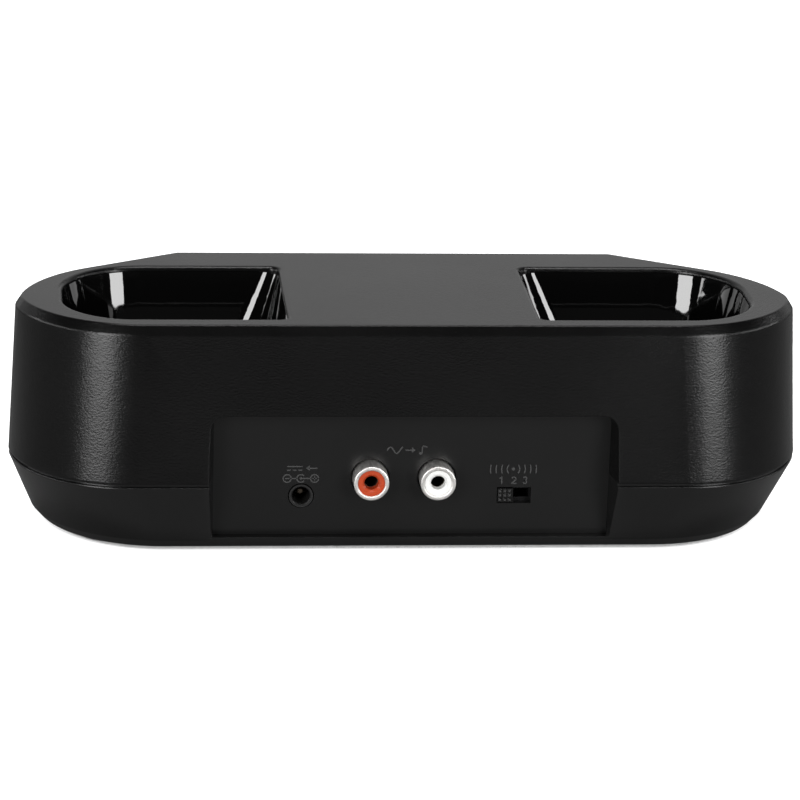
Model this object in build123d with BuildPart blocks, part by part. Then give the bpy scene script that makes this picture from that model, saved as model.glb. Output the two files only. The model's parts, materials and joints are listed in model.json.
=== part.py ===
from build123d import *
import os
from math import radians, sin

os.makedirs("parts", exist_ok=True)

# Twin charging base with a wireless audio transmitter inside. Millimetres, +Z up.
# The origin is at the bottom centre; -Y is the connector side and +X is to the right seen from there.

# ---------------------------------------------------------------- driving dimensions
base_z = 1.0            # underside of the bottom shell, above the surface it stands on
lower_edge_z = 3.3      # crisp edge between the sloping side and the rounded base band
groove_z = 18.1         # top of the bottom shell's outer face
seam_z = 18.8           # bottom edge of the top shell
top_z = 55.5            # flat top face
wall = 2.2              # shell wall and deck thickness
rim_chamfer_height = 2.2
rim_chamfer_width = 1.45
base_inset = 2.0        # how far the base band comes in from the lower edge to the underside
groove_depth = 0.9

# Plan outline of the body at three levels. Each has a straight back, large round ends,
# two slanted cuts and a straight front.
seam_plan = dict(straight=64.3, back=-36.35, end_radius=30.0, end_sweep=82.0, shoulder_radius=48.7,
                 front=36.35)
lower_plan = dict(straight=57.6, back=-31.05, end_radius=31.6, end_sweep=82.0, shoulder_radius=19.3,
                  front=31.05)
top_plan = dict(straight=62.0, back=-29.95, end_radius=30.0, end_sweep=70.0, shoulder_radius=34.1,
                front=31.3)
tip_radius = 12.0
shoulder_sweep = 44.0
slant_heading = 148.0   # direction of the slanted cut, anticlockwise from +X

# Wells
well_inner_x = 29.4
well_outer_x = 81.4
well_back_y = -25.0
well_front_y = 18.5
well_back_radius = 17.0     # outer corner nearest the connector side
well_front_radius = 19.0    # outer corner by the slanted cut
well_inner_radius = 2.2     # both inner corners, at the rim in the deck
well_floor_z = 23.5
well_draft = 7.6        # inset of each well's wall between its rim and its floor
lip_thickness = 1.3
lip_radius = 1.0
cup_wall = 1.6
cup_floor = 2.0
cup_rim_corner = 4.5        # inner corners of the cup, just under the deck
cup_foot_corner = 12.4      # the same corners at the well's floor
cup_gap = 0.1
well_x = (well_inner_x + well_outer_x) / 2
well_y = (well_back_y + well_front_y) / 2

# Connector recess and panel
recess_half_width = 47.7
recess_taper = 1.3
recess_top_z = 34.7
recess_bottom_z = 4.1
recess_corner = 3.5
recess_wall = 1.8
panel_y = -28.9         # face of the connector panel
panel_thickness = 2.0
panel_overlap = 1.4
panel_back_y = panel_y + panel_thickness

# Connectors
rca_x = (-9.8, 5.8)
rca_z = 18.0
rca_barrel_diameter = 8.3
rca_bore_diameter = 6.3
rca_front_y = -33.4
dc_x = -25.9
dc_z = 13.6
switch_x = 24.15
switch_z = 13.6
switch_travel = 4.0
slot_width = 8.0
slot_height = 4.0
knob_width = 3.7
knob_height = 3.6

# Boards
board_bottom_z = 6.4
board_thickness = 1.6
board_top_z = board_bottom_z + board_thickness
board_half_width = 46.0
board_back_y = -26.4
board_front_y = 12.0
board_screw_places = [(41, -20), (-41, -20), (41, 8), (-41, 8)]

# Charging contacts
plunger_spacing = 8.0
plunger_travel = 1.6
flange_bottom_z = 18.5
flange_top_z = 20.5
contact_top_z = 24.5
shoulder_z = 22.5

# Fasteners
post_places = [(24, 24.5), (-24, 24.5)]
cup_post_places = [(58, -13), (68, 6.5)]
cup_ear_places = [(22.8, -14), (22.8, 10), (45, 25)]
ear_z = 45.0
ear_thickness = 2.0
ear_length = 9.5
screw_diameter = 2.4
pilot_diameter = 2.5
foot_places = {"back_right": (70, -15), "back_left": (-70, -15),
               "front_right": (50, 19), "front_left": (-50, 19)}
pipe_z = 11.5


def save(piece, name):
    piece.part.label = name
    export_step(piece.part, f"parts/{name}.step")


# ---------------------------------------------------------------- shared outlines
def body_outline(height, plan, inset=0.0):
    """The body's plan outline at a height, moved in by inset all round."""
    back_y = plan["back"] + inset
    front_y = plan["front"] - inset
    tip_sweep = slant_heading - plan["end_sweep"] - shoulder_sweep
    with BuildSketch(Plane.XY.offset(height)) as outline:
        with BuildLine():
            back = Line((0, back_y), (plan["straight"], back_y))
            end = JernArc(back @ 1, back % 1, plan["end_radius"] - inset, plan["end_sweep"])
            tip = JernArc(end @ 1, end % 1, tip_radius - inset, tip_sweep)
            shoulder = JernArc(tip @ 1, tip % 1, plan["shoulder_radius"] - inset, shoulder_sweep)
            slant_length = (front_y - (shoulder @ 1).Y) / sin(radians(slant_heading))
            slant = PolarLine(shoulder @ 1, slant_length, slant_heading)
            Line(slant @ 1, (0, front_y))
            mirror(about=Plane.YZ)
        make_face()
    return outline.sketch


def well_outline(height, side, offset_by=0.0, inner_corner=well_inner_radius):
    """A well's D-shaped outline; side is 1 for the right well and -1 for the left."""
    inner = well_inner_x - offset_by
    outer = well_outer_x + offset_by
    back_y = well_back_y - offset_by
    front_y = well_front_y + offset_by
    corners = [(inner, back_y), (outer, back_y), (outer, front_y), (inner, front_y)]
    radii = [inner_corner, well_back_radius + offset_by, well_front_radius + offset_by, inner_corner]
    with BuildSketch(Plane.XY.offset(height)) as outline:
        with BuildLine():
            FilletPolyline([(side * x, y) for x, y in corners], radius=radii, close=True)
        make_face()
    return outline.sketch


def recess_outline(y, half_width, bottom_z, upper_z):
    """Front outline of the connector recess on a plane facing -Y, with round top corners."""
    with BuildSketch(Plane.XZ.offset(-y)) as outline:
        with Locations((0, (bottom_z + upper_z) / 2)):
            Rectangle(2 * half_width, upper_z - bottom_z)
        fillet(outline.vertices().group_by(Axis.Y)[-1], recess_corner)
    return outline.sketch


def facing(y):
    """Plane that faces the connector side at a given depth; its local axes are +X and +Z."""
    return Plane.XZ.offset(-y)


def edges_at(piece, height):
    """The edges that run round a piece at one height."""
    return piece.edges().filter_by_position(Axis.Z, height - 0.01, height + 0.01)


def both_sides(places):
    """The given right-hand places and their mirror images on the left."""
    return places + [(-x, y) for x, y in places]


# ---------------------------------------------------------------- solids used to shape both shells
shoulder_line_z = top_z - rim_chamfer_height
with BuildPart() as upper_envelope:
    loft([body_outline(seam_z, seam_plan),
          body_outline(shoulder_line_z, top_plan, -rim_chamfer_width)], ruled=True)
    loft([body_outline(shoulder_line_z, top_plan, -rim_chamfer_width),
          body_outline(top_z, top_plan)], ruled=True)
    for height, radius in ((seam_z, 0.3), (shoulder_line_z, 0.8), (top_z, 0.4)):
        fillet(edges_at(upper_envelope, height), radius)

with BuildPart() as lower_envelope:
    loft([body_outline(groove_z, seam_plan), body_outline(lower_edge_z, lower_plan)], ruled=True)
    loft([body_outline(lower_edge_z, lower_plan), body_outline(base_z, lower_plan, base_inset)],
         ruled=True)
    for height, radius in ((groove_z, 0.3), (base_z, 1.2)):
        fillet(edges_at(lower_envelope, height), radius)
    with BuildSketch(Plane.XY.offset(groove_z)):
        add(body_outline(groove_z, seam_plan, groove_depth))
    extrude(amount=seam_z - groove_z)

mouth_y = -40.0
taper_rate = recess_taper / (panel_y - seam_plan["back"])
mouth_half_width = recess_half_width + taper_rate * (seam_plan["back"] - mouth_y)
with BuildPart() as recess_space:
    loft([recess_outline(mouth_y, mouth_half_width, recess_bottom_z, recess_top_z),
          recess_outline(panel_y, recess_half_width - recess_taper, recess_bottom_z, recess_top_z)],
         ruled=True)


def recess_collar(envelope, low_z, high_z):
    """Thick wall round the connector recess, trimmed to the body's outer face."""
    half_width = recess_half_width + recess_wall
    with BuildPart() as collar:
        with BuildSketch(Plane.XY.offset(low_z)):
            with Locations((0, (mouth_y + panel_y) / 2)):
                Rectangle(2 * half_width, panel_y - mouth_y)
        extrude(amount=high_z - low_z)
        add(envelope.part, mode=Mode.INTERSECT)
    return collar.part


# ---------------------------------------------------------------- top shell
deck_z = top_z - wall
lip_z = top_z - lip_thickness
boss_radius = 3.0
post_radius = 3.5
post_foot_z = 18.0
pilot_depth = 8.0
hook_places = [18, -18]
hook_width = 8.0
hook_y = -25.0
hook_root = 3.0
hook_thickness = 1.8
hook_drop = 2.6
panel_top_z = recess_top_z + panel_overlap

with BuildPart() as top_shell:
    add(upper_envelope.part)
    loft([body_outline(seam_z, seam_plan, wall),
          body_outline(deck_z, top_plan, wall - rim_chamfer_width)], ruled=True, mode=Mode.SUBTRACT)
    add(recess_collar(upper_envelope, seam_z, recess_top_z + recess_wall))
    add(recess_space.part, mode=Mode.SUBTRACT)
    for side in (1, -1):
        with BuildSketch(Plane.XY.offset(lip_z)):
            add(well_outline(lip_z, side))
        extrude(amount=lip_thickness, mode=Mode.SUBTRACT)
        with BuildSketch(Plane.XY.offset(deck_z)):
            add(well_outline(deck_z, side, cup_wall + cup_gap, cup_rim_corner + cup_wall + cup_gap))
        extrude(amount=lip_z - deck_z, mode=Mode.SUBTRACT)
    with BuildSketch(Plane.XY.offset(ear_z + ear_thickness)):
        with Locations(both_sides(cup_ear_places)):
            Circle(boss_radius)
    extrude(amount=deck_z - ear_z - ear_thickness)
    with BuildSketch(Plane.XY.offset(ear_z + ear_thickness)):
        with Locations(both_sides(cup_ear_places)):
            Circle(pilot_diameter / 2)
    extrude(amount=deck_z - ear_z - ear_thickness - 1, mode=Mode.SUBTRACT)
    with BuildSketch(Plane.XY.offset(post_foot_z)):
        with Locations(post_places):
            Circle(post_radius)
    extrude(amount=deck_z - post_foot_z)
    with BuildSketch(Plane.XY.offset(post_foot_z)):
        with Locations(post_places):
            Circle(pilot_diameter / 2)
    extrude(amount=pilot_depth, mode=Mode.SUBTRACT)
    for x in hook_places:
        with BuildSketch(Plane.XY.offset(panel_top_z + 0.1)):
            with Locations((x, (panel_y - hook_root + hook_y) / 2)):
                Rectangle(hook_width, hook_y - panel_y + hook_root)
        extrude(amount=hook_thickness)
        with BuildSketch(Plane.XY.offset(panel_top_z - hook_drop)):
            with Locations((x, (panel_back_y + 0.1 + hook_y) / 2)):
                Rectangle(hook_width, hook_y - panel_back_y - 0.1)
        extrude(amount=hook_drop + 0.2)
    deck_face = top_shell.faces().filter_by(Plane.XY).group_by(Axis.Z)[-1].sort_by(SortBy.AREA)[-1]
    well_rims = deck_face.inner_wires()
    fillet(well_rims.edges(), lip_radius)
save(top_shell, "top_shell")

# ---------------------------------------------------------------- bottom shell
floor_z = base_z + wall
panel_half_width = recess_half_width - recess_taper + panel_overlap
panel_bottom_z = floor_z + 0.1
floor_inset = 1.1 * wall
pillar_radius = 3.5
pillar_top_z = post_foot_z - 0.1
screw_seat_z = 9.0
clearance_diameter = 2.9
counterbore_diameter = 5.2
standoff_radius = 3.0
foot_radius = 6.0
foot_recess = 1.0
rib_thickness = 1.6
rib_depth = 2.4
rib_height = 9.0
rib_places = [47.2, -47.2]
pipe_radius = 1.5
running_gap = 0.05
case_screw_places = post_places + both_sides(cup_post_places)

with BuildPart() as bottom_shell:
    add(lower_envelope.part)
    loft([body_outline(floor_z, lower_plan, floor_inset), body_outline(seam_z, seam_plan, wall)],
         ruled=True, mode=Mode.SUBTRACT)
    add(recess_collar(lower_envelope, base_z, seam_z))
    add(recess_space.part, mode=Mode.SUBTRACT)
    with BuildSketch(Plane.XY.offset(floor_z)):
        with Locations(case_screw_places):
            Circle(pillar_radius)
    extrude(amount=pillar_top_z - floor_z)
    with BuildSketch(Plane.XY.offset(floor_z)):
        with Locations(board_screw_places):
            Circle(standoff_radius)
    extrude(amount=board_bottom_z - floor_z)
    with BuildSketch(Plane.XY.offset(floor_z)):
        with Locations([(x, panel_back_y + 0.1 + rib_depth / 2) for x in rib_places]):
            Rectangle(rib_thickness, rib_depth)
    extrude(amount=rib_height)
    with Locations([(x, y, base_z) for x, y in case_screw_places]):
        Cylinder(clearance_diameter / 2, pillar_top_z - base_z,
                 align=(Align.CENTER, Align.CENTER, Align.MIN), mode=Mode.SUBTRACT)
        Cylinder(counterbore_diameter / 2, screw_seat_z - base_z,
                 align=(Align.CENTER, Align.CENTER, Align.MIN), mode=Mode.SUBTRACT)
    with Locations([(x, y, board_bottom_z) for x, y in board_screw_places]):
        Cylinder(pilot_diameter / 2, 3, align=(Align.CENTER, Align.CENTER, Align.MAX), mode=Mode.SUBTRACT)
    with Locations([(x, y, base_z) for x, y in foot_places.values()]):
        Cylinder(foot_radius + 0.1, foot_recess,
                 align=(Align.CENTER, Align.CENTER, Align.MIN), mode=Mode.SUBTRACT)
    with BuildSketch(facing(40)):
        with Locations((0, pipe_z)):
            Circle(pipe_radius + running_gap)
    extrude(amount=15, mode=Mode.SUBTRACT)
    with BuildSketch(Plane.XY.offset(panel_bottom_z - 0.05)):
        with Locations((0, (panel_y + panel_back_y + 0.1) / 2)):
            Rectangle(2 * panel_half_width + 0.2, panel_thickness + 0.1)
    extrude(amount=seam_z, mode=Mode.SUBTRACT)
save(bottom_shell, "bottom_shell")

# ---------------------------------------------------------------- rubber feet
def rubber_foot(place, name):
    with BuildPart() as foot:
        with BuildSketch():
            with Locations(place):
                Circle(foot_radius)
        extrude(amount=base_z + foot_recess - 0.05)
        fillet(foot.edges().group_by(Axis.Z)[0], 0.4)
    save(foot, f"foot_{name}")


for name, place in foot_places.items():
    rubber_foot(place, name)

# ---------------------------------------------------------------- connector panel
rca_hole_radius = 4.65
dc_hole_radius = 3.05

with BuildPart() as connector_panel:
    with BuildSketch(facing(panel_back_y)) as panel_face:
        with Locations((0, (panel_bottom_z + panel_top_z) / 2)):
            Rectangle(2 * panel_half_width, panel_top_z - panel_bottom_z)
        fillet(panel_face.vertices().group_by(Axis.Y)[-1], recess_corner + panel_overlap)
        with Locations([(x, rca_z) for x in rca_x]):
            Circle(rca_hole_radius, mode=Mode.SUBTRACT)
        with Locations((dc_x, dc_z)):
            Circle(dc_hole_radius, mode=Mode.SUBTRACT)
        with Locations((switch_x, switch_z)):
            Rectangle(slot_width, slot_height, mode=Mode.SUBTRACT)
    extrude(amount=panel_thickness)
save(connector_panel, "connector_panel")

# ---------------------------------------------------------------- well cups
cup_boss_radius = 3.25
contact_boss_radius = 2.1
contact_screw_spacing = 9.3
block_opening = (14.4, 7.4)
floor_radius = 1.4


def well_space(side):
    """The open space of one well, with a rounded foot."""
    with BuildPart() as space:
        loft([well_outline(well_floor_z, side, -well_draft, cup_foot_corner),
              well_outline(lip_z, side, 0.0, cup_rim_corner)], ruled=True)
        fillet(space.edges().group_by(Axis.Z)[0], floor_radius)
    return space.part


def well_cup(side, name):
    ears = [(side * x, y) for x, y in cup_ear_places]
    posts = [(side * x, y) for x, y in cup_post_places]
    contacts = [(side * well_x + shift, well_y) for shift in (-contact_screw_spacing, contact_screw_spacing)]
    cup_bottom_z = well_floor_z - cup_floor
    with BuildPart() as cup:
        loft([well_outline(cup_bottom_z, side, cup_wall - well_draft, cup_foot_corner + cup_wall),
              well_outline(lip_z, side, cup_wall, cup_rim_corner + cup_wall)], ruled=True)
        with BuildSketch(Plane.XY.offset(ear_z)):
            with Locations(ears):
                Circle(boss_radius)
            for x, y in cup_ear_places[:2]:
                with Locations((side * (x + ear_length / 2), y)):
                    Rectangle(ear_length, 2 * boss_radius)
            x, y = cup_ear_places[2]
            with Locations((side * x, y - ear_length / 2)):
                Rectangle(2 * boss_radius, ear_length)
        extrude(amount=ear_thickness)
        with BuildSketch(Plane.XY.offset(post_foot_z)):
            with Locations(posts):
                Circle(cup_boss_radius)
        extrude(amount=well_floor_z - post_foot_z - 0.5)
        with BuildSketch(Plane.XY.offset(flange_top_z)):
            with Locations(contacts):
                Circle(contact_boss_radius)
        extrude(amount=well_floor_z - flange_top_z - 0.5)
        add(well_space(side), mode=Mode.SUBTRACT)
        with Locations((side * well_x, well_y, cup_bottom_z)):
            Box(*block_opening, cup_floor, align=(Align.CENTER, Align.CENTER, Align.MIN), mode=Mode.SUBTRACT)
        with Locations([(x, y, ear_z) for x, y in ears]):
            Cylinder(clearance_diameter / 2, ear_thickness,
                     align=(Align.CENTER, Align.CENTER, Align.MIN), mode=Mode.SUBTRACT)
        with Locations([(x, y, post_foot_z) for x, y in posts]):
            Cylinder(pilot_diameter / 2, 4.6,
                     align=(Align.CENTER, Align.CENTER, Align.MIN), mode=Mode.SUBTRACT)
        with Locations([(x, y, flange_top_z) for x, y in contacts]):
            Cylinder(1.0, 2.3, align=(Align.CENTER, Align.CENTER, Align.MIN), mode=Mode.SUBTRACT)
    save(cup, name)


well_cup(1, "right_well_cup")
well_cup(-1, "left_well_cup")

# ---------------------------------------------------------------- spring contacts at the foot of each well
flange_size = (22.0, 11.0)
block_size = (14.0, 7.0)
bore_radius = 1.7
plunger_radius = 1.1
plunger_flange_radius = 1.6
plunger_flange_z = 21.4
plunger_flange_top_z = 22.4
stub_radius = 0.7
stub_bottom_z = 20.3
plunger_top_z = 26.6
wire_radius = 0.15
coil_radius = 1.2
spring_turns = 4
contact_board_thickness = 1.6
contact_board_z = flange_bottom_z - contact_board_thickness


def contact_block(side, name):
    centre = (side * well_x, well_y)
    plungers = [(centre[0] + shift, well_y) for shift in (-plunger_spacing / 2, plunger_spacing / 2)]
    screws = [(centre[0] + shift, well_y) for shift in (-contact_screw_spacing, contact_screw_spacing)]
    with BuildPart() as block:
        with BuildSketch(Plane.XY.offset(flange_bottom_z)) as flange:
            with Locations(centre):
                Rectangle(*flange_size)
            fillet(flange.vertices(), 2)
        extrude(amount=flange_top_z - flange_bottom_z)
        with BuildSketch(Plane.XY.offset(flange_top_z)) as boss:
            with Locations(centre):
                Rectangle(*block_size)
            fillet(boss.vertices(), 1.5)
        extrude(amount=contact_top_z - flange_top_z)
        fillet(block.edges().group_by(Axis.Z)[-1], 0.6)
        with Locations([(x, y, flange_bottom_z) for x, y in plungers]):
            Cylinder(bore_radius, shoulder_z - flange_bottom_z,
                     align=(Align.CENTER, Align.CENTER, Align.MIN), mode=Mode.SUBTRACT)
            Cylinder(plunger_radius + running_gap, contact_top_z - flange_bottom_z,
                     align=(Align.CENTER, Align.CENTER, Align.MIN), mode=Mode.SUBTRACT)
        with Locations([(x, y, flange_bottom_z) for x, y in screws]):
            Cylinder(1.1, flange_top_z - flange_bottom_z,
                     align=(Align.CENTER, Align.CENTER, Align.MIN), mode=Mode.SUBTRACT)
    save(block, name)


def contact_board(side, name):
    centre = (side * well_x, well_y)
    with BuildPart() as board:
        with BuildSketch(Plane.XY.offset(contact_board_z)) as board_face:
            with Locations(centre):
                Rectangle(*flange_size)
            fillet(board_face.vertices(), 1)
            with Locations([(centre[0] - contact_screw_spacing, well_y),
                            (centre[0] + contact_screw_spacing, well_y)]):
                Circle(1.1, mode=Mode.SUBTRACT)
        extrude(amount=contact_board_thickness)
    save(board, name)


def contact_plunger(x, name):
    """Turned pin with a domed tip, a flange that stops it under the block and a stub inside its spring."""
    with BuildPart() as plunger:
        with BuildSketch(Plane.XZ.offset(-well_y)):
            with BuildLine():
                axis_foot = (x, stub_bottom_z)
                stub = Line(axis_foot, (x + stub_radius, stub_bottom_z))
                neck = Line(stub @ 1, (x + stub_radius, plunger_flange_z))
                under = Line(neck @ 1, (x + plunger_flange_radius, plunger_flange_z))
                edge = Line(under @ 1, (x + plunger_flange_radius, plunger_flange_top_z))
                over = Line(edge @ 1, (x + plunger_radius, plunger_flange_top_z))
                shaft = Line(over @ 1, (x + plunger_radius, plunger_top_z - plunger_radius))
                dome = RadiusArc(shaft @ 1, (x, plunger_top_z), -plunger_radius)
                Line(dome @ 1, axis_foot)
            make_face()
        revolve(axis=Axis((x, well_y, 0), (0, 0, 1)))
    save(plunger, name)


def contact_spring(x, name):
    height = plunger_flange_z - flange_bottom_z - 2 * wire_radius
    with BuildPart() as spring:
        with BuildLine():
            coil = Helix(height / spring_turns, height, coil_radius,
                         center=(x, well_y, flange_bottom_z + wire_radius))
        with BuildSketch(Plane(origin=coil @ 0, z_dir=coil % 0)):
            Circle(wire_radius)
        sweep()
    save(spring, name)


for side, side_name in ((1, "right"), (-1, "left")):
    contact_block(side, f"{side_name}_contact_block")
    contact_board(side, f"{side_name}_contact_board")
    for shift, place_name in ((-plunger_spacing / 2, "inner"), (plunger_spacing / 2, "outer")):
        plunger_x = side * (well_x + shift)
        contact_plunger(plunger_x, f"{side_name}_{place_name}_plunger")
        contact_spring(plunger_x, f"{side_name}_{place_name}_spring")

# ---------------------------------------------------------------- main board and what is on it
with BuildPart() as main_board:
    with BuildSketch(Plane.XY.offset(board_bottom_z)) as board_face:
        with Locations((0, (board_back_y + board_front_y) / 2)):
            Rectangle(2 * board_half_width, board_front_y - board_back_y)
        fillet(board_face.vertices(), 1.5)
        with Locations(board_screw_places):
            Circle(1.4, mode=Mode.SUBTRACT)
    extrude(amount=board_thickness)
save(main_board, "main_board")

shield_size = (24.0, 18.0)
shield_height = 3.2
shield_centre = (-16.0, 0.0)
sheet_thickness = 0.3
with BuildPart() as shield_can:
    with BuildSketch(Plane.XY.offset(board_top_z)) as can_face:
        with Locations(shield_centre):
            Rectangle(*shield_size)
        fillet(can_face.vertices(), 1)
    extrude(amount=shield_height)
    fillet(shield_can.edges().group_by(Axis.Z)[-1], 0.5)
    with Locations((*shield_centre, board_top_z)):
        Box(shield_size[0] - 2 * sheet_thickness, shield_size[1] - 2 * sheet_thickness,
            shield_height - sheet_thickness,
            align=(Align.CENTER, Align.CENTER, Align.MIN), mode=Mode.SUBTRACT)
save(shield_can, "shield_can")


def chip(centre, size, height, name):
    """Flat leaded package with a bevelled lid edge and gull-wing leads along two sides."""
    lead_count = int(size[0] / 1.27)
    with BuildPart() as package:
        with BuildSketch(Plane.XY.offset(board_top_z + 0.1)):
            with Locations(centre):
                Rectangle(*size)
        extrude(amount=height)
        chamfer(package.edges().group_by(Axis.Z)[-1], 0.2)
        with BuildSketch(Plane.XY.offset(board_top_z)):
            with Locations(centre):
                with GridLocations(1.27, size[1] + 0.8, lead_count, 2):
                    Rectangle(0.4, 1.2)
        extrude(amount=0.4)
    save(package, name)


chip((-16, 0), (9, 7), 1.4, "radio_chip")
chip((12, -6), (10, 6), 1.6, "audio_chip")

with BuildPart() as crystal:
    with BuildSketch(Plane.XY.offset(board_top_z)):
        with Locations((24, -7)):
            SlotOverall(10.5, 4.4)
    extrude(amount=3.4)
    fillet(crystal.edges().group_by(Axis.Z)[-1], 0.6)
save(crystal, "crystal")

with BuildPart() as capacitors:
    with BuildSketch(Plane.XY.offset(board_top_z)):
        with Locations((-34, -8), (-34, 0)):
            Circle(3.15)
    extrude(amount=7.5)
    fillet(capacitors.edges().group_by(Axis.Z)[-1], 0.5)
save(capacitors, "capacitors")

# Bent sheet antenna that stands along the front edge of the board
antenna_height = 7.0
antenna_length = 26.0
with BuildPart() as antenna:
    with BuildSketch(Plane.XY.offset(board_top_z + antenna_height)):
        with Locations((26, 4)):
            Rectangle(antenna_length, 5)
    extrude(amount=0.5)
    with BuildSketch(Plane.XY.offset(board_top_z)):
        with Locations((13.25, 4), (20, 6.25)):
            Rectangle(0.5, 0.5)
        with Locations((13.25, 4)):
            Rectangle(0.5, 5)
    extrude(amount=antenna_height)
save(antenna, "antenna")

led_y = 10.0
with BuildPart() as status_led:
    with BuildSketch(Plane.XY.offset(board_top_z)):
        with Locations((0, led_y)):
            Rectangle(4, 3)
    extrude(amount=5.2)
    with BuildSketch(facing(led_y + 1.5)):
        with Locations((0, pipe_z)):
            Circle(1.5)
    extrude(amount=-1.2)
save(status_led, "status_led")

pipe_start_y = led_y + 3.0
side_slope = (seam_plan["front"] - lower_plan["front"]) / (groove_z - lower_edge_z)
pipe_end_y = seam_plan["front"] - side_slope * (groove_z - pipe_z + pipe_radius)
with BuildPart() as light_pipe:
    with BuildSketch(facing(pipe_start_y)):
        with Locations((0, pipe_z)):
            Circle(pipe_radius)
    extrude(amount=pipe_start_y - pipe_end_y)
    with BuildSketch(facing(seam_plan["front"] - 8)):
        with Locations((0, pipe_z)):
            Circle(2.4)
    extrude(amount=1)
save(light_pipe, "light_pipe")

# ---------------------------------------------------------------- phono sockets
rca_body_back_y = -15.5
rca_body_width = 30.5
rca_body_top_z = 26.5
rca_bore_end_y = -20.0
rca_root_y = -29.0       # the barrel is a little slimmer from here inwards
rca_root_radius = 4.05
insert_radius = 3.1
insert_hole_radius = 1.7
contact_front_y = -30.5
contact_outer_radius = 2.1
contact_inner_radius = 1.62
with BuildPart() as rca_body:
    with BuildSketch(facing(rca_body_back_y)) as body_face:
        with Locations((sum(rca_x) / 2, (board_top_z + rca_body_top_z) / 2)):
            Rectangle(rca_body_width, rca_body_top_z - board_top_z)
        fillet(body_face.vertices().group_by(Axis.Y)[-1], 1.5)
    extrude(amount=rca_body_back_y - panel_back_y)
    with BuildSketch(facing(panel_back_y)):
        with Locations([(x, rca_z) for x in rca_x]):
            Circle(rca_root_radius + running_gap)
    extrude(amount=panel_back_y - rca_bore_end_y, mode=Mode.SUBTRACT)
save(rca_body, "phono_socket_body")


def rca_socket(x, barrel_name, insert_name, contact_name):
    with BuildPart() as barrel:
        with BuildSketch(facing(rca_bore_end_y)):
            with Locations((x, rca_z)):
                Circle(rca_root_radius)
        extrude(amount=rca_bore_end_y - rca_root_y)
        with BuildSketch(facing(rca_root_y)):
            with Locations((x, rca_z)):
                Circle(rca_barrel_diameter / 2)
        extrude(amount=rca_root_y - rca_front_y)
        with BuildSketch(facing(rca_bore_end_y)):
            with Locations((x, rca_z)):
                Circle(rca_bore_diameter / 2)
        extrude(amount=rca_bore_end_y - rca_front_y, mode=Mode.SUBTRACT)
        fillet(barrel.edges().group_by(Axis.Y)[0], 0.35)
    save(barrel, barrel_name)
    with BuildPart() as insert:
        with BuildSketch(facing(rca_bore_end_y)):
            with Locations((x, rca_z)):
                Circle(insert_radius)
                Circle(insert_hole_radius, mode=Mode.SUBTRACT)
        extrude(amount=rca_bore_end_y - rca_front_y - 0.3)
        with BuildSketch(facing(rca_bore_end_y)):
            with Locations((x, rca_z)):
                Circle(contact_outer_radius)
        extrude(amount=rca_bore_end_y - contact_front_y, mode=Mode.SUBTRACT)
        chamfer(insert.edges().group_by(Axis.Y)[0].sort_by(SortBy.RADIUS)[0], 0.5)
    save(insert, insert_name)
    with BuildPart() as centre_contact:
        with BuildSketch(facing(rca_bore_end_y)):
            with Locations((x, rca_z)):
                Circle(contact_outer_radius)
                Circle(contact_inner_radius, mode=Mode.SUBTRACT)
        extrude(amount=rca_bore_end_y - contact_front_y)
    save(centre_contact, contact_name)


rca_socket(rca_x[0], "left_phono_barrel", "red_phono_insert", "left_phono_contact")
rca_socket(rca_x[1], "right_phono_barrel", "white_phono_insert", "right_phono_contact")

# ---------------------------------------------------------------- power socket
dc_nose_radius = 2.8
dc_bore_radius = 2.12
dc_bore_depth = 10.0
dc_pin_radius = 0.8
dc_root_radius = 1.0     # where the pin is pressed into the body
dc_root_depth = 2.0
dc_pin_tip_y = -25.8
dc_front_y = -29.2
dc_bore_end_y = dc_front_y + dc_bore_depth
dc_body_back_y = -15.0
dc_body_width = 8.0
dc_body_top_z = 18.6
with BuildPart() as dc_body:
    with BuildSketch(facing(dc_body_back_y)):
        with Locations((dc_x, (board_top_z + dc_body_top_z) / 2)):
            Rectangle(dc_body_width, dc_body_top_z - board_top_z)
    extrude(amount=dc_body_back_y - panel_back_y)
    with BuildSketch(facing(panel_back_y)):
        with Locations((dc_x, dc_z)):
            Circle(dc_nose_radius)
    extrude(amount=panel_back_y - dc_front_y)
    with BuildSketch(facing(dc_front_y)):
        with Locations((dc_x, dc_z)):
            Circle(dc_bore_radius)
    extrude(amount=-dc_bore_depth, mode=Mode.SUBTRACT)
    with BuildSketch(facing(dc_bore_end_y)):
        with Locations((dc_x, dc_z)):
            Circle(dc_root_radius)
    extrude(amount=-dc_root_depth, mode=Mode.SUBTRACT)
    chamfer(dc_body.edges().group_by(Axis.Y)[0].sort_by(SortBy.RADIUS)[0], 0.3)
save(dc_body, "power_socket_body")

with BuildPart() as dc_pin:
    with BuildSketch(facing(dc_bore_end_y + dc_root_depth)):
        with Locations((dc_x, dc_z)):
            Circle(dc_root_radius)
    extrude(amount=dc_root_depth)
    with BuildSketch(facing(dc_bore_end_y)):
        with Locations((dc_x, dc_z)):
            Circle(dc_pin_radius)
    extrude(amount=dc_bore_end_y - dc_pin_tip_y)
    fillet(dc_pin.edges().group_by(Axis.Y)[0], 0.4)
save(dc_pin, "power_socket_pin")

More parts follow.
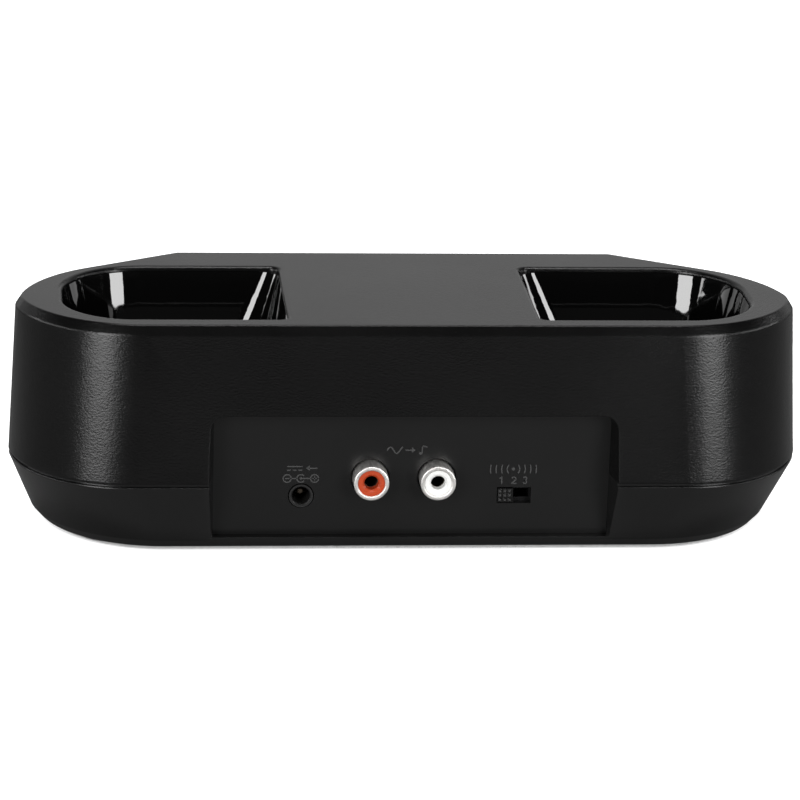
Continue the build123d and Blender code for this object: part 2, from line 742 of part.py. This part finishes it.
# ---------------------------------------------------------------- channel switch
can_back_y = -22.0
can_width = 12.8
can_height = 6.6
can_sheet = 0.4
stem_width = 3.0
stem_height = 1.8
knob_back_y = -27.1
knob_front_y = -29.1
carriage_back_y = -23.6
with BuildPart() as switch_can:
    with BuildSketch(facing(can_back_y)):
        with Locations((switch_x, switch_z)):
            Rectangle(can_width, can_height)
    extrude(amount=can_back_y - panel_back_y)
    with BuildSketch(facing(can_back_y)):
        with Locations((switch_x, switch_z)):
            Rectangle(can_width - 2 * can_sheet, can_height - 2 * can_sheet)
    extrude(amount=can_back_y - panel_back_y - can_sheet, mode=Mode.SUBTRACT)
    with BuildSketch(facing(can_back_y)):
        with Locations((switch_x, switch_z)):
            Rectangle(switch_travel + stem_width + 0.4, stem_height + 0.4)
    extrude(amount=can_back_y - panel_back_y, mode=Mode.SUBTRACT)
save(switch_can, "switch_can")

knob_x = switch_x - switch_travel / 2
with BuildPart() as switch_knob:
    with BuildSketch(facing(knob_back_y)):
        with Locations((knob_x, switch_z)):
            Rectangle(knob_width, knob_height)
    extrude(amount=knob_back_y - knob_front_y)
    fillet(switch_knob.edges().group_by(Axis.Y)[0], 0.2)
    with BuildSketch(facing(knob_front_y)):
        with Locations((knob_x, switch_z)):
            with GridLocations(1.05, 1.0, 3, 3):
                Rectangle(0.7, 0.65)
    extrude(amount=0.2, taper=20)
    with BuildSketch(facing(panel_back_y + can_sheet + 0.1)):
        with Locations((knob_x, switch_z)):
            Rectangle(stem_width, stem_height)
    extrude(amount=panel_back_y + can_sheet + 0.1 - knob_back_y)
    with BuildSketch(facing(carriage_back_y)):
        with Locations((knob_x, switch_z)):
            Rectangle(4.0, 4.6)
    extrude(amount=carriage_back_y - panel_back_y - can_sheet - 0.1)
save(switch_knob, "channel_switch_knob")

with BuildPart() as switch_base:
    with BuildSketch(facing(can_back_y + 1.2)):
        with Locations((switch_x, switch_z)):
            Rectangle(can_width, can_height)
    extrude(amount=1.2)
    with BuildSketch(Plane.XY.offset(board_top_z)):
        with Locations([(switch_x + shift, can_back_y + 0.6) for shift in (-4.5, -1.5, 1.5, 4.5)]):
            Rectangle(0.6, 0.4)
    extrude(amount=switch_z - can_height / 2 - board_top_z)
save(switch_base, "switch_base")

# ---------------------------------------------------------------- leads to the contact boards
lead_radius = 0.6
lead_bend = 3.5
lead_z = 10.5
lead_socket_x = 42.5
lead_rise_x = 50.5
lead_rows = {"red": well_y - 1.2, "black": well_y + 1.2}


def lead_socket(side, name):
    with BuildPart() as socket:
        with BuildSketch(Plane.XY.offset(board_top_z)):
            with Locations((side * (lead_socket_x - 2.5), well_y)):
                Rectangle(5, 6)
        extrude(amount=5)
        fillet(socket.edges().group_by(Axis.Z)[-1], 0.4)
    save(socket, name)


def lead(side, y, name):
    """Insulated wire from a socket's outer face, bent up to the underside of a contact board."""
    with BuildPart() as wire:
        with BuildLine():
            route = FilletPolyline((side * lead_socket_x, y, lead_z), (side * lead_rise_x, y, lead_z),
                                   (side * lead_rise_x, y, contact_board_z), radius=lead_bend)
        with BuildSketch(Plane(origin=route @ 0, z_dir=route % 0)):
            Circle(lead_radius)
        sweep()
    save(wire, name)


for side, side_name in ((1, "right"), (-1, "left")):
    lead_socket(side, f"{side_name}_lead_socket")
    for colour, y in lead_rows.items():
        lead(side, y, f"{side_name}_{colour}_lead")

# ---------------------------------------------------------------- screws, in groups of separate solids
def screws(places, seat_z, shank_length, head_radius, shank_radius, points_up, name):
    """Pan-head screws with a cross recess; points_up is 1 for shanks that point up and -1 for down."""
    head_height = 0.7 * head_radius
    with BuildPart() as group:
        for x, y in places:
            head_plane = Plane(origin=(x, y, seat_z), z_dir=(0, 0, -points_up))
            with BuildSketch(head_plane):
                Circle(head_radius)
            head = extrude(amount=head_height)
            fillet(head.edges().sort_by(Axis.Z)[-1 if points_up < 0 else 0], 0.4 * head_height)
            with BuildSketch(head_plane.offset(head_height)):
                Rectangle(head_radius, 0.25 * head_radius)
                Rectangle(0.25 * head_radius, head_radius)
            extrude(amount=-0.5 * head_height, mode=Mode.SUBTRACT)
            with BuildSketch(head_plane):
                Circle(shank_radius)
            shank = extrude(amount=-shank_length)
            chamfer(shank.edges().sort_by(Axis.Z)[0 if points_up < 0 else -1], 0.3)
    save(group, name)


contact_screw_places = [(side * well_x + shift, well_y)
                        for side in (1, -1) for shift in (-contact_screw_spacing, contact_screw_spacing)]
screws(case_screw_places, screw_seat_z, 13.4, 2.3, screw_diameter / 2, 1, "case_screws")
screws(both_sides(cup_ear_places), ear_z, 6.6, 2.3, screw_diameter / 2, 1, "cup_screws")
screws(contact_screw_places, contact_board_z, 5.6, 1.8, 0.95, 1, "contact_screws")
screws(board_screw_places, board_top_z, 4.2, 2.3, screw_diameter / 2, -1, "board_screws")
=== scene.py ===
import json
from math import asin, cos, degrees, pi, radians, sin, tau

import bmesh
import bpy
from mathutils import Matrix, Vector


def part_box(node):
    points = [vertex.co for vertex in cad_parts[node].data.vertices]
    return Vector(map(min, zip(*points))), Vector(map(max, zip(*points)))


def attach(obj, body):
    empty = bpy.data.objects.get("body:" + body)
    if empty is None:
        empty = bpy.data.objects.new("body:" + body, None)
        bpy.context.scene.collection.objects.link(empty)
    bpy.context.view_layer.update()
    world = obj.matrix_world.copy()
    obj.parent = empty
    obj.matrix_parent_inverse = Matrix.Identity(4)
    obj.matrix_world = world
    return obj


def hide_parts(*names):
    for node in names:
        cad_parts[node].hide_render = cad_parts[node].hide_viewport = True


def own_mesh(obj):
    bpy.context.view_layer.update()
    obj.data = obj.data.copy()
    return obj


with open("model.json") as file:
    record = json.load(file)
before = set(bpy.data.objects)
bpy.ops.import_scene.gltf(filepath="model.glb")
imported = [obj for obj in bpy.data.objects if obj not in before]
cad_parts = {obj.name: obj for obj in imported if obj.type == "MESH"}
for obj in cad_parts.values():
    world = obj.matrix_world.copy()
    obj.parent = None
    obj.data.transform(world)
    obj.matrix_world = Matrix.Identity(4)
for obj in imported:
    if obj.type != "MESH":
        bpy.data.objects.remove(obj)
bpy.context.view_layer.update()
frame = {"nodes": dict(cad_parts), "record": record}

MM = 0.001
nodes = frame["nodes"]


# ---------------------------------------------------------------- camera
def make_camera():
    """The photograph's viewing angle: from the connector side, a little from the left and above."""
    yaw, pitch, roll = radians(5.396), radians(18.068), radians(1.672)
    forward = Vector((sin(yaw) * cos(pitch), cos(yaw) * cos(pitch), -sin(pitch)))
    level_right = Vector((cos(yaw), -sin(yaw), 0))
    level_up = level_right.cross(forward)
    right = level_right * cos(roll) + level_up * sin(roll)
    up = level_up * cos(roll) - level_right * sin(roll)
    data = bpy.data.cameras.new("camera")
    data.sensor_width = 36
    data.lens = 155.07
    data.shift_x = 0.025
    data.clip_start = 0.01
    data.clip_end = 20
    camera = bpy.data.objects.new("camera", data)
    bpy.context.scene.collection.objects.link(camera)
    axes = Matrix((right, up, -forward)).transposed()
    camera.matrix_world = Matrix.Translation((-0.0794, -0.7846, 0.2847)) @ axes.to_4x4()
    bpy.context.scene.camera = camera


# ---------------------------------------------------------------- lights and floor
def area_light(name, place, target, size, power):
    """A flat light: size is its width and height in metres, power in watts."""
    data = bpy.data.lights.new(name, "AREA")
    data.shape = "RECTANGLE"
    data.size, data.size_y = size
    data.energy = power
    light = bpy.data.objects.new(name, data)
    bpy.context.scene.collection.objects.link(light)
    light.location = place
    light.rotation_mode = "QUATERNION"
    light.rotation_quaternion = (Vector(target) - Vector(place)).to_track_quat("-Z", "Y")


def softbox(name, bearing, distance, low, high, width, radiance):
    """An upright soft box that faces the object, from low to high above the floor in metres.

    Its bearing is in degrees from -Y towards +X, and its radiance doesn't change with its size.
    """
    angle = radians(bearing)
    place = Vector((sin(angle) * distance, -cos(angle) * distance, (low + high) / 2))
    power = radiance * pi * width * (high - low)
    area_light(name, place, (0, 0, place.z), (width, high - low), power)


def make_world():
    """A pale studio: bright low down behind the object, dark over the camera."""
    world = bpy.data.worlds.new("studio")
    bpy.context.scene.world = world
    world.use_nodes = True
    tree = world.node_tree
    tree.nodes.clear()
    coordinates = tree.nodes.new("ShaderNodeTexCoord")
    split = tree.nodes.new("ShaderNodeSeparateXYZ")
    tree.links.new(coordinates.outputs["Generated"], split.inputs[0])
    ramp = tree.nodes.new("ShaderNodeMapRange")
    ramp.interpolation_type = "SMOOTHSTEP"
    ramp.inputs["From Min"].default_value = 0.1
    ramp.inputs["From Max"].default_value = 0.85
    ramp.inputs["To Min"].default_value = 0.015
    ramp.inputs["To Max"].default_value = 0.72
    tree.links.new(split.outputs["Y"], ramp.inputs["Value"])
    room = tree.nodes.new("ShaderNodeBackground")
    tree.links.new(ramp.outputs[0], room.inputs["Strength"])
    backdrop = tree.nodes.new("ShaderNodeBackground")
    backdrop.inputs["Strength"].default_value = 1.0
    seen = tree.nodes.new("ShaderNodeLightPath")
    mix = tree.nodes.new("ShaderNodeMixShader")
    tree.links.new(seen.outputs["Is Camera Ray"], mix.inputs[0])
    tree.links.new(room.outputs[0], mix.inputs[1])
    tree.links.new(backdrop.outputs[0], mix.inputs[2])
    output = tree.nodes.new("ShaderNodeOutputWorld")
    tree.links.new(mix.outputs[0], output.inputs["Surface"])


def make_floor():
    """A large pale floor. Only the camera sees it at its full brightness, with a painted contact shadow,
    near black in the thin gap under the object; reflections see it greyer."""
    mesh = bpy.data.meshes.new("floor")
    half = 6.0
    corners = [(-half, -half, 0), (half, -half, 0), (half, half, 0), (-half, half, 0)]
    mesh.from_pydata(corners, [], [(0, 1, 2, 3)])
    floor = bpy.data.objects.new("floor", mesh)
    bpy.context.scene.collection.objects.link(floor)
    material = bpy.data.materials.new("floor_paper")
    material.use_nodes = True
    tree = material.node_tree
    tree.nodes.clear()
    seen = tree.nodes.new("ShaderNodeLightPath")
    paper = tree.nodes.new("ShaderNodeBsdfDiffuse")
    paper.inputs["Color"].default_value = (0.93, 0.93, 0.93, 1)
    glow = tree.nodes.new("ShaderNodeEmission")
    glow.inputs["Strength"].default_value = 0.75
    pale = tree.nodes.new("ShaderNodeAddShader")
    tree.links.new(paper.outputs[0], pale.inputs[0])
    tree.links.new(glow.outputs[0], pale.inputs[1])
    # Painted contact shadow: where ambient occlusion finds the thin gap under the object, the camera
    # sees a near-black diffuse instead of the pale paper.
    openness = tree.nodes.new("ShaderNodeAmbientOcclusion")
    openness.inputs["Distance"].default_value = 0.002
    painted_contact_shadow = tree.nodes.new("ShaderNodeMapRange")
    painted_contact_shadow.inputs["From Min"].default_value = 0.2
    painted_contact_shadow.inputs["From Max"].default_value = 0.32
    tree.links.new(openness.outputs["AO"], painted_contact_shadow.inputs["Value"])
    shade = tree.nodes.new("ShaderNodeBsdfDiffuse")
    shade.inputs["Color"].default_value = (0.01, 0.01, 0.01, 1)
    shaded = tree.nodes.new("ShaderNodeMixShader")
    tree.links.new(painted_contact_shadow.outputs[0], shaded.inputs[0])
    tree.links.new(shade.outputs[0], shaded.inputs[1])
    tree.links.new(pale.outputs[0], shaded.inputs[2])
    grey = tree.nodes.new("ShaderNodeBsdfDiffuse")
    grey.inputs["Color"].default_value = (0.24, 0.24, 0.24, 1)
    mix = tree.nodes.new("ShaderNodeMixShader")
    output = tree.nodes.new("ShaderNodeOutputMaterial")
    tree.links.new(seen.outputs["Is Camera Ray"], mix.inputs[0])
    tree.links.new(grey.outputs[0], mix.inputs[1])
    tree.links.new(shaded.outputs[0], mix.inputs[2])
    tree.links.new(mix.outputs[0], output.inputs["Surface"])
    mesh.materials.append(material)


# ---------------------------------------------------------------- materials
class Look:
    """A material whose Principled shader is fed by a few procedural textures in object space."""

    def __init__(self, name, colour, roughness, metallic=0.0, **sockets):
        self.material = bpy.data.materials.new(name)
        self.material.use_nodes = True
        self.material.diffuse_color = (*colour, 1)
        self.tree = self.material.node_tree
        self.shader = self.tree.nodes["Principled BSDF"]
        self.colour, self.roughness = colour, roughness
        self.shader.inputs["Base Color"].default_value = (*colour, 1)
        self.shader.inputs["Roughness"].default_value = roughness
        self.shader.inputs["Metallic"].default_value = metallic
        for socket, value in sockets.items():
            self.shader.inputs[socket.replace("_", " ")].default_value = value
        self.place = self.tree.nodes.new("ShaderNodeTexCoord").outputs["Object"]

    def node(self, kind, **settings):
        made = self.tree.nodes.new(kind)
        for key, value in settings.items():
            setattr(made, key, value)
        return made

    def link(self, source, target):
        self.tree.links.new(source, target)

    def stretched(self, factors):
        """Object coordinates scaled apart along X, Y and Z, for brushed or drawn grain."""
        mapping = self.node("ShaderNodeMapping")
        mapping.inputs["Scale"].default_value = factors
        self.link(self.place, mapping.inputs["Vector"])
        return mapping.outputs[0]

    def noise(self, size, detail=2.0, rough=0.5, place=None):
        """Noise with features about size metres across, from 0 to 1."""
        texture = self.node("ShaderNodeTexNoise")
        texture.inputs["Scale"].default_value = 1 / size
        texture.inputs["Detail"].default_value = detail
        texture.inputs["Roughness"].default_value = rough
        self.link(place or self.place, texture.inputs["Vector"])
        return texture.outputs["Fac"]

    def spread(self, value, low, high, start=0.3, end=0.7):
        """Maps a 0-1 texture to low-high."""
        ramp = self.node("ShaderNodeMapRange")
        limits = {"From Min": start, "From Max": end, "To Min": low, "To Max": high}
        for socket, number in limits.items():
            ramp.inputs[socket].default_value = number
        self.link(value, ramp.inputs["Value"])
        return ramp.outputs[0]

    def tones(self, value, dark, light):
        """Colours the surface between two tints by a 0-1 texture."""
        mix = self.node("ShaderNodeMix", data_type="RGBA")
        mix.inputs[6].default_value = (*dark, 1)
        mix.inputs[7].default_value = (*light, 1)
        self.link(value, mix.inputs[0])
        self.link(mix.outputs[2], self.shader.inputs["Base Color"])

    def rub(self, value, low, high, start=0.3, end=0.7):
        """Roughness between low and high by a texture."""
        self.link(self.spread(value, low, high, start, end), self.shader.inputs["Roughness"])

    def bump(self, height, depth):
        """Adds a bump of the given depth in metres on top of any bump before it."""
        node = self.node("ShaderNodeBump")
        node.inputs["Strength"].default_value = 1.0
        node.inputs["Distance"].default_value = depth
        self.link(height, node.inputs["Height"])
        before = self.shader.inputs["Normal"]
        if before.is_linked:
            self.link(before.links[0].from_socket, node.inputs["Normal"])
        self.link(node.outputs[0], before)


def moulded(name, colour, roughness, grain, depth, lift=1.6, rounded=0.0, **sockets):
    """Moulded plastic: fine grain, uneven gloss and slightly worn edges.

    The grain's size and depth are in metres, and rounded is an edge radius in millimetres.
    """
    look = Look(name, colour, roughness, **sockets)
    if rounded:
        softened = look.node("ShaderNodeBevel", samples=4)
        softened.inputs["Radius"].default_value = rounded * MM
        look.link(softened.outputs[0], look.shader.inputs["Normal"])
    fine = look.noise(grain, 1.0, 0.6)
    broad = look.noise(0.03, 3.0)
    look.rub(broad, roughness * 0.93, roughness * 1.08)
    look.bump(fine, depth)
    edge = look.node("ShaderNodeNewGeometry").outputs["Pointiness"]
    worn = look.spread(edge, 0.0, 1.0, 0.505, 0.56)
    mottle = look.spread(broad, 0.0, 0.25)
    both = look.node("ShaderNodeMath", operation="MAXIMUM")
    look.link(worn, both.inputs[0])
    look.link(mottle, both.inputs[1])
    look.tones(both.outputs[0], colour, tuple(min(1.0, c * lift + 0.001) for c in colour))
    return look


def metal(name, colour, roughness, grain_axes, depth=0.000002):
    """Plated or drawn metal: grain stretched along one axis, with uneven brightness."""
    look = Look(name, colour, roughness, metallic=1.0)
    lines = look.noise(0.0004, 4.0, 0.7, look.stretched(grain_axes))
    broad = look.noise(0.004, 3.0)
    look.rub(lines, roughness * 0.7, roughness * 1.4)
    look.tones(broad, tuple(c * 0.88 for c in colour), colour)
    look.bump(lines, depth)
    return look


def make_looks():
    """One material for each of the record's slots, and one lighter than the panel for the raised signs
    and the knob's grip: its light colour is a painted highlight.
    """
    looks = {
        "textured_plastic": moulded("textured_plastic", (0.0010, 0.0010, 0.0010), 0.25, 0.00045, 0.00004,
                                    rounded=0.5, Specular_IOR_Level=0.34),
        "satin_plastic": moulded("satin_plastic", (0.0034, 0.0034, 0.0034), 0.24, 0.00022, 0.000005,
                                 rounded=0.4),
        "gloss_plastic": moulded("gloss_plastic", (0.0010, 0.0010, 0.0010), 0.035, 0.006, 0.00001,
                                 lift=1.1, Specular_IOR_Level=0.85),
        "panel_plastic": moulded("panel_plastic", (0.0020, 0.0020, 0.0020), 0.32, 0.0002, 0.000006,
                                 Specular_IOR_Level=0.45),
        # Panel plastic made lighter and glossier for the raised marks: the light colour is a painted
        # highlight, standing in for their glints.
        "raised_plastic_painted_glint": moulded("raised_plastic_painted_glint", (0.034, 0.034, 0.034), 0.12, 0.0002, 0.000002,
                                Specular_IOR_Level=0.9),
        # Far darker than bare bronze: the dark colour is a painted shade, as for contacts deep inside
        # the sockets' bores.
        "contact_bronze": metal("contact_bronze", (0.16, 0.13, 0.10), 0.4, (1, 0.15, 1)),
        "blackened_steel": metal("blackened_steel", (0.035, 0.035, 0.036), 0.42, (0.15, 1, 1)),
        "knob_plastic": moulded("knob_plastic", (0.0010, 0.0010, 0.0010), 0.24, 0.00015, 0.000003),
        "foot_rubber": moulded("foot_rubber", (0.014, 0.014, 0.014), 0.85, 0.0004, 0.00003),
        "red_plastic": moulded("red_plastic", (0.42, 0.052, 0.015), 0.28, 0.0003, 0.000004, lift=1.1),
        "white_plastic": moulded("white_plastic", (0.88, 0.88, 0.86), 0.28, 0.0003, 0.000004, lift=1.0),
        "socket_plastic": moulded("socket_plastic", (0.008, 0.008, 0.008), 0.4, 0.0003, 0.000006),
        "chip_epoxy": moulded("chip_epoxy", (0.02, 0.02, 0.021), 0.6, 0.00015, 0.00001),
        "red_insulation": moulded("red_insulation", (0.45, 0.012, 0.012), 0.42, 0.0005, 0.000006,
                                  lift=1.1),
        "black_insulation": moulded("black_insulation", (0.012, 0.012, 0.012), 0.42, 0.0005, 0.000006),
        "circuit_board": circuit_look(),
        "lens_plastic": lens_look(),
        "nickel": metal("nickel", (0.95, 0.93, 0.90), 0.46, (1, 0.15, 1)),
        "gold_plate": metal("gold_plate", (0.85, 0.62, 0.25), 0.22, (1, 1, 0.2)),
        "tinned_steel": metal("tinned_steel", (0.62, 0.62, 0.6), 0.34, (0.15, 1, 1)),
        "spring_steel": metal("spring_steel", (0.56, 0.56, 0.57), 0.25, (1, 1, 1)),
        "screw_steel": metal("screw_steel", (0.55, 0.56, 0.58), 0.3, (1, 1, 0.2)),
    }
    return {slot: look.material for slot, look in looks.items()}


def circuit_look():
    """Green solder mask over tracks, which show as slightly raised, lighter lines."""
    look = Look("circuit_board", (0.012, 0.09, 0.035), 0.3, Coat_Weight=0.4, Coat_Roughness=0.15)
    tracks = look.node("ShaderNodeTexBrick", offset=0.35, squash=0.6, squash_frequency=3)
    tracks.inputs["Scale"].default_value = 130
    tracks.inputs["Mortar Size"].default_value = 0.03
    tracks.inputs["Color1"].default_value = (0, 0, 0, 1)
    tracks.inputs["Color2"].default_value = (0, 0, 0, 1)
    tracks.inputs["Mortar"].default_value = (1, 1, 1, 1)
    look.link(look.place, tracks.inputs["Vector"])
    lines = look.node("ShaderNodeRGBToBW")
    look.link(tracks.outputs["Color"], lines.inputs[0])
    look.tones(lines.outputs[0], (0.010, 0.075, 0.03), (0.03, 0.16, 0.06))
    look.bump(lines.outputs[0], 0.00003)
    look.rub(look.noise(0.01), 0.24, 0.36)
    return look


def lens_look():
    """Clear moulded plastic with faint haze."""
    look = Look("lens_plastic", (0.9, 0.93, 0.93), 0.08, Transmission_Weight=0.85, IOR=1.49)
    look.rub(look.noise(0.002, 3.0), 0.05, 0.16)
    look.bump(look.noise(0.0008), 0.000003)
    return look


def dress_nodes(looks):
    """Gives every CAD node the material of its slot."""
    for entry in frame["record"]["subparts"]:
        for material_slot in nodes[entry["node"]].material_slots:
            material_slot.material = looks[entry["material_slot"]]


# ---------------------------------------------------------------- pieces
def add_piece(name, bm, material, body="base"):
    """Makes a visual piece from a bmesh, gives it a material and ties it to a body."""
    mesh = bpy.data.meshes.new(name)
    bmesh.ops.recalc_face_normals(bm, faces=bm.faces)
    bm.to_mesh(mesh)
    bm.free()
    piece = bpy.data.objects.new(name, mesh)
    bpy.context.scene.collection.objects.link(piece)
    mesh.materials.append(material)
    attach(piece, body)
    return piece


def prism(bm, outline, y_back, y_front, shrink=0.7):
    """A closed prism between two depths from (x, z) points in millimetres.

    Its front is the outline times shrink, so the sides slope.
    """
    count = len(outline)
    middle_x = sum(x for x, z in outline) / count
    middle_z = sum(z for x, z in outline) / count
    rings = []
    for y, scale in ((y_back, 1.0), (y_front, shrink)):
        ring = [(middle_x + (x - middle_x) * scale, y, middle_z + (z - middle_z) * scale)
                for x, z in outline]
        rings.append([bm.verts.new((x * MM, depth * MM, z * MM)) for x, depth, z in ring])
    for k in range(count):
        after = (k + 1) % count
        bm.faces.new((rings[0][k], rings[0][after], rings[1][after], rings[1][k]))
    bm.faces.new(rings[0])
    bm.faces.new(rings[1][::-1])


def stroke(bm, points, width, y_back, y_front):
    """A raised line along (x, z) points: a block for each run and a disc at each bend."""
    for (x0, z0), (x1, z1) in zip(points, points[1:]):
        along = Vector((x1 - x0, z1 - z0)).normalized() * width / 2
        across = Vector((-along.y, along.x))
        prism(bm, [(x0 + across.x, z0 + across.y), (x0 - across.x, z0 - across.y),
                   (x1 - across.x, z1 - across.y), (x1 + across.x, z1 + across.y)], y_back, y_front, 0.9)
    for x, z in points:
        disc(bm, (x, z), width / 2, y_back, y_front - 0.01)


def disc(bm, centre, radius, y_back, y_front, steps=14):
    """A raised round dot."""
    prism(bm, [(centre[0] + radius * cos(tau * k / steps), centre[1] + radius * sin(tau * k / steps))
               for k in range(steps)], y_back, y_front)


def arc(centre, radius, start, end, steps=12):
    """Points along an arc; angles in degrees from +X towards +Z."""
    angles = [radians(start + (end - start) * k / steps) for k in range(steps + 1)]
    return [(centre[0] + radius * cos(angle), centre[1] + radius * sin(angle)) for angle in angles]


def panel_signs(material):
    """Generic raised signs on the connector panel: power, polarity, sound in, radio, and 1 2 3."""
    back, front = -28.85, -29.12    # just inside the panel's face, and the signs' own faces
    width = 0.32

    def sign(name, lines=(), dots=(), solids=()):
        bm = bmesh.new()
        for line in lines:
            stroke(bm, line, width, back, front)
        for centre, radius in dots:
            disc(bm, centre, radius, back, front)
        for outline in solids:
            prism(bm, outline, back, front)
        add_piece(name, bm, material)

    # direct current: a solid bar over three dashes, and an arrow that points in
    x, z = -27.5, 20.4
    sign("sign_power", [[(x - 1.7, z + 0.45), (x + 1.7, z + 0.45)]]
         + [[(x + shift - 0.35, z - 0.45), (x + shift + 0.35, z - 0.45)] for shift in (-1.35, 0, 1.35)]
         + [[(x + 5.2, z), (x + 3.2, z)]],
         solids=[[(x + 2.5, z), (x + 3.6, z + 0.75), (x + 3.6, z - 0.75)]])
    # polarity: minus and plus in rings either side of a dot in an open ring
    x, z = -26.0, 17.9
    ring = 0.95
    sign("sign_polarity",
         [arc((x - 3.2, z), ring, 0, 360, 20), arc((x + 3.2, z), ring, 0, 360, 20),
          arc((x, z), ring, 45, 315),
          [(x - 3.65, z), (x - 2.75, z)],
          [(x + 2.75, z), (x + 3.65, z)], [(x + 3.2, z - 0.45), (x + 3.2, z + 0.45)],
          [(x - 2.2, z), (x - ring, z)], [(x + 0.3, z), (x + 2.2, z)]],
         dots=[((x, z), 0.38)])
    # sound in: a wave, an arrow and a note
    x, z = -1.1, 24.8
    step, wavelength = 0.3, 3.0
    wave = [(x - 4.9 + step * k, z + 0.8 * sin(tau * step * k / wavelength)) for k in range(13)]
    sign("sign_audio_in",
         [wave, [(x - 0.5, z), (x + 1.0, z)], [(x + 3.3, z - 0.8), (x + 3.3, z + 1.1)],
          [(x + 3.3, z + 1.1), (x + 4.4, z + 0.8)]],
         dots=[((x + 2.95, z - 0.8), 0.45)],
         solids=[[(x + 1.9, z), (x + 0.8, z + 0.8), (x + 0.8, z - 0.8)]])
    # radio: a dot with waves to both sides, all of the same height
    x, z = 23.8, 20.1
    waves = []
    half_height = 0.95
    for radius in (1.5, 2.8, 4.1, 5.4):
        half = degrees(asin(half_height / radius))
        waves += [arc((x, z), radius, -half, half, 6), arc((x, z), radius, 180 - half, 180 + half, 6)]
    sign("sign_radio", waves, dots=[((x, z), 0.5)])
    # the three channel numbers, drawn about their middles
    z, size = 17.35, 0.85
    one = [[(-0.45, 0.55), (0.05, 0.95), (0.05, -0.95)]]
    two = [arc((0, 0.4), 0.55, 160, -35, 8) + [(-0.6, -0.95), (0.65, -0.95)]]
    three = [arc((0, 0.48), 0.48, 150, -90, 8), arc((0, -0.48), 0.48, 90, -150, 8)]
    for name, x, lines in (("digit_1", 21.1, one), ("digit_2", 24.0, two), ("digit_3", 26.6, three)):
        sign(name, [[(x + size * across, z + size * up) for across, up in line] for line in lines])


def knob_grip(material):
    """Nine small pyramids on the face of the channel switch's knob."""
    low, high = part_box("channel_switch_knob")
    x = low[0] / MM + 1.85
    z = (low[2] + high[2]) / 2 / MM
    column_pitch, row_pitch = 1.12, 1.06
    half_width, half_height = 0.42, 0.4
    back, front, shrink = -29.05, -29.5, 0.3
    bm = bmesh.new()
    for column in (-1, 0, 1):
        for row in (-1, 0, 1):
            left = x + column_pitch * column - half_width
            bottom = z + row_pitch * row - half_height
            right, top = left + 2 * half_width, bottom + 2 * half_height
            prism(bm, [(left, bottom), (right, bottom), (right, top), (left, top)], back, front, shrink)
    add_piece("channel_switch_grip", bm, material, "channel_switch")


def contact_springs(material):
    """Coil springs under the charging pins, in place of the CAD springs. Their ends are closed."""
    for node, joint in ((f"{side}_{place}_spring", f"{side}_{place}_pin_travel")
                        for side in ("left", "right") for place in ("inner", "outer")):
        low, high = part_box(node)
        x, y = (low[0] + high[0]) / 2, (low[1] + high[1]) / 2
        wire = 0.15 * MM
        radius = 1.2 * MM
        turns, per_turn, around = 5.5, 20, 8
        closed = 0.75   # flat turns at each end
        steps = int(turns * per_turn)
        section = [(wire * cos(tau * m / around), wire * sin(tau * m / around))
                   for m in range(around)]
        bm = bmesh.new()
        rings = []
        for k in range(steps + 1):
            turn = k / per_turn
            share = min(max((turn - closed) / (turns - 2 * closed), 0.0), 1.0)
            z = low[2] + wire + share * (high[2] - low[2] - 2 * wire)
            out = Vector((cos(tau * turn), sin(tau * turn), 0))
            middle = Vector((x, y, z))
            rings.append([bm.verts.new(middle + out * (radius + outwards) + Vector((0, 0, up)))
                          for outwards, up in section])
        for before, after in zip(rings, rings[1:]):
            for m in range(around):
                n = (m + 1) % around
                bm.faces.new((before[m], before[n], after[n], after[m]))
        bm.faces.new(rings[0][::-1])
        bm.faces.new(rings[-1])
        piece = add_piece(node + "_coil", bm, material)
        for face in piece.data.polygons:
            face.use_smooth = True
        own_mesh(piece)
        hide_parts(node)


# ---------------------------------------------------------------- run
make_camera()
make_world()
make_floor()
softbox("left_softbox", bearing=-38, distance=1.1, low=0.02, high=0.78, width=0.44, radiance=9)
softbox("right_softbox", bearing=36, distance=1.1, low=0.02, high=0.78, width=0.40, radiance=9)
softbox("left_low_strip", bearing=-88, distance=1.2, low=0.26, high=0.42, width=1.1, radiance=6)
softbox("right_low_strip", bearing=84, distance=1.2, low=0.26, high=0.42, width=1.1, radiance=6)
area_light("overhead", place=(0, -0.2, 1.5), target=(0, 0, 0), size=(0.9, 0.35), power=12)
looks = make_looks()
dress_nodes(looks)
# The signs and the knob's grip take the lightened plastic, a painted highlight for their glints.
panel_signs(looks["raised_plastic_painted_glint"])
knob_grip(looks["raised_plastic_painted_glint"])
contact_springs(looks["spring_steel"])

bpy.context.scene.view_settings.view_transform = "Standard"
